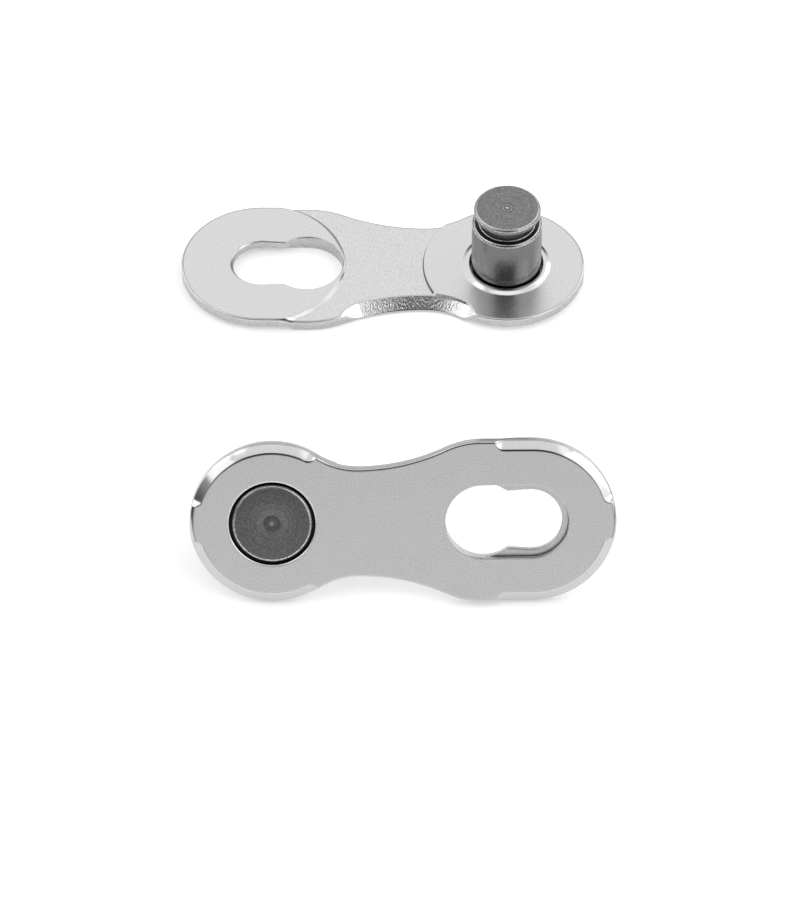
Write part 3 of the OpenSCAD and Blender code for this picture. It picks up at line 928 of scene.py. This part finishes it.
def ring_shade(tree, across, pitch, rings):
    """Level of the colour at the distance across from the pin's axis, from pairs of a radius and a level."""
    reach = add_node(tree, "ShaderNodeMath", {0: across, 1: RAMP_REACH * MM}, operation="DIVIDE")
    ramp = add_node(tree, "ShaderNodeValToRGB", {"Fac": reach})
    elements = ramp.color_ramp.elements
    elements.remove(elements[1])
    for radius, level in rings:
        element = elements.new(radius / RAMP_REACH) if radius else elements[0]
        element.color = (level / RAMP_LEVEL,) * 3 + (1,)
    times, amount = CHATTER
    chatter = add_node(tree, "ShaderNodeTexNoise", {
        "W": across, "Scale": 1 / (times * pitch * MM), "Detail": 2.0}, noise_dimensions="1D")
    chatter = add_node(tree, "ShaderNodeMapRange", {
        "Value": chatter, **NOISE_SPAN,
        "To Min": RAMP_LEVEL * (1 - amount), "To Max": RAMP_LEVEL * (1 + amount)})
    return add_node(tree, "ShaderNodeMath", {0: ramp, 1: chatter}, operation="MULTIPLY")


def turned_steel(name, color, roughness, pitch, speckle, relief, rings=None):
    """Dark hardened steel, turned. Tool marks run round the pin: hoops up its side, or rings on its ends
    where rings of colour are given."""
    material, tree = new_material(name)
    place_on = add_node(tree, "ShaderNodeTexCoord").outputs["Object"]
    centred = add_node(tree, "ShaderNodeVectorMath", {
        0: place_on, 1: (PIN_X * MM, 0, 0)}, operation="SUBTRACT")
    split = add_node(tree, "ShaderNodeSeparateXYZ", {"Vector": centred})
    across, shade = split.outputs["Z"], None
    if rings:
        flat = add_node(tree, "ShaderNodeCombineXYZ", {"X": split.outputs["X"], "Y": split.outputs["Y"]})
        across = add_node(tree, "ShaderNodeVectorMath", {0: flat}, operation="LENGTH").outputs["Value"]
        shade = ring_shade(tree, across, pitch, rings)
    marks = add_node(tree, "ShaderNodeTexNoise", {
        "W": across, "Scale": 1 / (pitch * MM), "Detail": 3.0}, noise_dimensions="1D")
    base = speckled(tree, color, place_on, STEEL_GRAIN, speckle, shade)
    dress_metal(tree, place_on, base, marks, relief, roughness, PIN_WEAR)
    return material


def plate_finishes(look):
    """The nine finishes of a plate, in the order of its material slots. The real grain is finer than the
    render can show, so it is drawn as coarse as it needs to be seen."""
    grain = look.grain / MM
    return [
        # Satin, from tumbling: an even pale grey with no clear reflections
        nickel_plate("satin_nickel_plate", look.nickel, 0.3, grain, 0.2, 0.0012),
        # Coined between polished dies: smoother, so that it takes up its surroundings a little more
        nickel_plate("coined_nickel_pad", look.nickel, 0.28, grain, 0.18, 0.001),
        # The pads' slopes take the bevels' colour and its painted shade, and are a little duller than the
        # pads
        nickel_plate("coined_nickel_slope", look.bevel, 0.3, grain, 0.1, 0.001),
        # Painted shade: the steep step round the pin's pad is coloured dark and rough, so that it shows as a
        # dark line
        nickel_plate("painted_shade_nickel_step", look.step, 0.45, grain, 0.1, 0.001),
        # The bevels were pressed by a polished tool and shine. Their darker colour is painted shade, for the
        # shaded floor that the lower bevels mirror
        nickel_plate("polished_nickel_bevel", look.bevel, 0.14, grain, 0.06, 0.0006),
        # Sheared edges keep fine marks of the die under the plate, which run round them. Their darker colour
        # is painted shade, for the shaded floor and hole that they mirror
        nickel_plate("sheared_nickel_edge", look.sheared, 0.3, grain, 0.15, 0.002, (4, 4, 1)),
        # The tool drags across the waist's bevel and leaves lines across it
        nickel_plate("striated_nickel_bevel", look.striated, 0.2, grain, 0.3, 0.005, (1, 2, 2)),
        # Painted shade: the gap round the pin and the recess's corner are coloured near black, for the shade
        # deep in them
        nickel_plate("painted_shade_gap_steel", look.gap, 0.5, grain, 0.1, 0.001),
        # The collar was burnished by the tool that raised it: the brightest of the finishes
        nickel_plate("burnished_nickel_collar", look.nickel, 0.16, grain, 0.08, 0.0006),
    ]


# Rings of colour on the pin's ends, from the centre out, as pairs of a radius in millimetres and a level
TIP_RINGS = (
    (0, 2), (0.06, 1.9), (0.11, 0.7), (0.18, 0.75), (0.23, 1.25), (0.28, 1.1), (0.33, 0.6), (0.38, 1.1),
    (0.6, 1))
ROOT_RINGS = (
    (0, 1.6), (0.07, 1.5), (0.13, 0.72), (0.4, 0.72), (0.44, 0.9), (0.49, 1.3), (0.75, 1.22), (1.1, 1),
    (1.7, 0.96))


def pin_finishes(look):
    """The five finishes of a pin, in the order of its material slots. The real tool marks are finer than the
    render can show, so they are drawn as coarse as they need to be seen."""
    pitch = look.turning_pitch / MM
    return [
        # Turned and hardened: dark grey with hoops that soften its reflections
        turned_steel("turned_dark_steel", look.steel, 0.26, pitch, 0.2, 0.001),
        # The tip is faced off and tumbled: rings about the centre, speckled where the black is worn
        turned_steel("tumbled_steel_tip", look.tip, 0.34, pitch, 0.42, 0.0015, TIP_RINGS),
        # The root's end keeps more of the black
        turned_steel("faced_dark_steel", look.root, 0.34, pitch, 0.34, 0.0015, ROOT_RINGS),
        # The groove keeps the black of hardening
        turned_steel("groove_black_steel", look.groove, 0.35, pitch, 0.1, 0.001),
        # Tumbling wears the edges bright, in specks
        turned_steel("worn_steel_edge", look.worn, 0.3, pitch, 0.6, 0.002),
    ]


class CHAINLINK_OT_build_plates(bpy.types.Operator):
    """Build both plates in place of their CAD nodes"""

    bl_idname = "chain_link.build_plates"
    bl_label = "Build Plates"

    def execute(self, context):
        look = context.scene.chain_link_plate
        sides = context.scene.chain_link_pin.sides
        mesh = plate_mesh("plate_half", look, sides, plate_finishes(look))
        place("stamped_plate_a", mesh, Matrix.Identity(4), "outer_plate_a")
        place("stamped_plate_b", mesh.copy(), half_b_matrix(), "outer_plate_b")
        return {"FINISHED"}


class CHAINLINK_OT_build_pins(bpy.types.Operator):
    """Build both pins in place of their CAD nodes"""

    bl_idname = "chain_link.build_pins"
    bl_label = "Build Pins"

    def execute(self, context):
        look = context.scene.chain_link_pin
        mesh = pin_mesh("pin_half", look, pin_finishes(look))
        place("turned_pin_a", mesh, Matrix.Identity(4), "connecting_pin_a")
        place("turned_pin_b", mesh.copy(), half_b_matrix(), "connecting_pin_b")
        return {"FINISHED"}


# Softboxes: name, azimuth and elevation as seen from the object (azimuth 0 is the camera's side, positive to
# its right), width and height as angles, all in degrees, and the radiance that each adds to the tent's
SOFTBOXES = (
    ("softbox_right", 54, 32, 34, 48, 1.35),
    ("softbox_left", -60, 42, 26, 22, 1.35),
    ("softbox_right_side", 95, 57, 46, 24, 0.45),
    ("softbox_left_side", -90, 50, 28, 36, 1.05),
    ("softbox_right_low", 104, 28, 68, 34, 1.1),
    ("softbox_left_low", -104, 18, 52, 32, 1.15),
    ("softbox_back", 180, 48, 120, 60, 0.52),
    ("softbox_front_low", 0, 8, 72, 26, 0.52),
    ("softbox_top", 0, 78, 60, 26, 0.78),
)
# Distance of the softboxes, in metres
LAMP_REACH = 1.2
# The tent is dark round the camera: its elevation there, the angles from it between which the dark fades into
# the tent, and its level
CAMERA_DARK = 44, 16, 26, 0.08
# It darkens toward the horizon between these elevations, to this share
HORIZON_DARK = 10, 30, 0.24
# The floor lies this little under the object, in millimetres, so that no two faces lie in one plane
FLOOR_DROP = 0.002

# The camera, fitted to the photograph: its target, distance and lens in millimetres, the angles in degrees
CAMERA_TARGET = (0.883, -12.505, 0.0)
CAMERA_AZIMUTH = 0.36
CAMERA_ELEVATION = 47.42
CAMERA_REACH = 272.7
CAMERA_LENS = 214.97


def direction(azimuth, elevation):
    """Unit vector from the object toward a place given in degrees."""
    a, e = radians(azimuth), radians(elevation)
    return Vector((sin(a) * cos(e), -cos(a) * cos(e), sin(e)))


class CHAINLINK_OT_build_stage(bpy.types.Operator):
    """Build the floor, the light and the camera"""

    bl_idname = "chain_link.build_stage"
    bl_label = "Build Stage"

    def execute(self, context):
        look = context.scene.chain_link_stage
        target = Vector(CAMERA_TARGET) * MM
        self.add_floor(look, target)
        self.add_softboxes(context, look, target)
        self.add_tent(context, look)
        self.add_camera(context, target)
        context.scene.view_settings.view_transform = "Standard"
        return {"FINISHED"}

    def add_floor(self, look, target):
        """A plain pale floor that keeps the object's shadow and shows white elsewhere."""
        half = look.floor_size / 2
        corners = [
            (target.x + x * half, target.y + y * half, -FLOOR_DROP * MM)
            for x, y in ((-1, -1), (1, -1), (1, 1), (-1, 1))]
        mesh = bpy.data.meshes.new("floor")
        mesh.from_pydata(corners, [], [(0, 1, 2, 3)])
        floor = bpy.data.objects.new("floor", mesh)
        bpy.context.scene.collection.objects.link(floor)
        # Matt white board: it shows nothing of its surroundings but the object's soft shadow
        material, tree = new_material("matt_white_floor")
        rays = add_node(tree, "ShaderNodeLightPath").outputs
        seen = rays["Is Camera Ray"]
        for kind in ("Is Glossy Ray", "Is Transmission Ray"):
            seen = add_node(tree, "ShaderNodeMath", {0: seen, 1: rays[kind]}, operation="MAXIMUM")
        level = add_node(tree, "ShaderNodeMath", {0: seen, 1: look.floor_glow}, operation="MULTIPLY")
        matt = add_node(tree, "ShaderNodeBsdfDiffuse", {"Color": look.floor})
        glow = add_node(tree, "ShaderNodeEmission", {"Strength": level})
        both = add_node(tree, "ShaderNodeAddShader", {0: matt, 1: glow})
        add_node(tree, "ShaderNodeOutputMaterial", {"Surface": both})
        mesh.materials.append(material)

    def add_softboxes(self, context, look, target):
        """The softboxes, each turned to the object."""
        for name, azimuth, elevation, width, height, radiance in SOFTBOXES:
            lamp = bpy.data.lights.new(name, "AREA")
            lamp.shape = "RECTANGLE"
            lamp.size = 2 * LAMP_REACH * tan(radians(width / 2))
            lamp.size_y = 2 * LAMP_REACH * tan(radians(height / 2))
            lamp.energy = pi * lamp.size * lamp.size_y * radiance * look.boxes
            box = bpy.data.objects.new(name, lamp)
            context.scene.collection.objects.link(box)
            toward = direction(azimuth, elevation)
            box.location = target + toward * LAMP_REACH
            box.rotation_euler = toward.to_track_quat("Z", "Y").to_euler()

    def add_tent(self, context, look):
        """A pale tent that is darker toward the horizon and round the camera."""
        world = bpy.data.worlds.new("tent")
        world.use_nodes = True
        tree = world.node_tree
        tree.nodes.clear()
        toward = add_node(tree, "ShaderNodeTexCoord").outputs["Generated"]
        elevation, dark_end, light_start, dark = CAMERA_DARK
        near = add_node(tree, "ShaderNodeVectorMath", {
            0: toward, 1: direction(CAMERA_AZIMUTH, elevation)}, operation="DOT_PRODUCT")
        level = add_node(tree, "ShaderNodeMapRange", {
            "Value": near.outputs["Value"], "From Min": cos(radians(light_start)),
            "From Max": cos(radians(dark_end)), "To Min": look.tent, "To Max": dark},
            interpolation_type="SMOOTHSTEP")
        height = add_node(tree, "ShaderNodeSeparateXYZ", {"Vector": toward}).outputs["Z"]
        low, high, least = HORIZON_DARK
        share = add_node(tree, "ShaderNodeMapRange", {
            "Value": height, "From Min": sin(radians(low)), "From Max": sin(radians(high)),
            "To Min": least, "To Max": 1.0}, interpolation_type="SMOOTHSTEP")
        level = add_node(tree, "ShaderNodeMath", {0: level, 1: share}, operation="MULTIPLY")
        light = add_node(tree, "ShaderNodeBackground", {"Strength": level})
        add_node(tree, "ShaderNodeOutputWorld", {"Surface": light})
        context.scene.world = world

    def add_camera(self, context, target):
        """The camera at the photograph's viewing angle."""
        lens = bpy.data.cameras.new("camera")
        lens.lens = CAMERA_LENS
        lens.sensor_width = 36
        lens.clip_start = 0.01
        camera = bpy.data.objects.new("camera", lens)
        context.scene.collection.objects.link(camera)
        toward = direction(CAMERA_AZIMUTH, CAMERA_ELEVATION)
        right = Vector((cos(radians(CAMERA_AZIMUTH)), sin(radians(CAMERA_AZIMUTH)), 0))
        turn = Matrix((right, toward.cross(right), toward)).transposed()
        camera.matrix_world = Matrix.Translation(target + toward * CAMERA_REACH * MM) @ turn.to_4x4()
        context.scene.camera = camera


class CHAINLINK_PT_panel(bpy.types.Panel):
    """Panel of the chain connecting link"""

    bl_label = "Chain Connecting Link"
    bl_idname = "CHAINLINK_PT_panel"
    bl_space_type = "VIEW_3D"
    bl_region_type = "UI"
    bl_category = "Link"

    def draw(self, context):
        for operator, group in zip(OPERATORS, SETTINGS):
            settings = getattr(context.scene, group)
            column = self.layout.column()
            for name in settings.__annotations__:
                column.prop(settings, name)
            column.operator(operator.bl_idname)


# Names of the settings on the scene
SETTINGS = {
    "chain_link_plate": ChainLinkPlateSettings,
    "chain_link_pin": ChainLinkPinSettings,
    "chain_link_stage": ChainLinkStageSettings,
}
OPERATORS = CHAINLINK_OT_build_plates, CHAINLINK_OT_build_pins, CHAINLINK_OT_build_stage
CLASSES = *SETTINGS.values(), *OPERATORS, CHAINLINK_PT_panel


def register():
    for cls in CLASSES:
        bpy.utils.register_class(cls)
    for name, group in SETTINGS.items():
        setattr(bpy.types.Scene, name, PointerProperty(type=group))


def unregister():
    for name in SETTINGS:
        delattr(bpy.types.Scene, name)
    for cls in reversed(CLASSES):
        bpy.utils.unregister_class(cls)


def main():
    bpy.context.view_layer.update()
    register()
    bpy.ops.chain_link.build_plates()
    bpy.ops.chain_link.build_pins()
    bpy.ops.chain_link.build_stage()


if __name__ == "__main__":
    main()
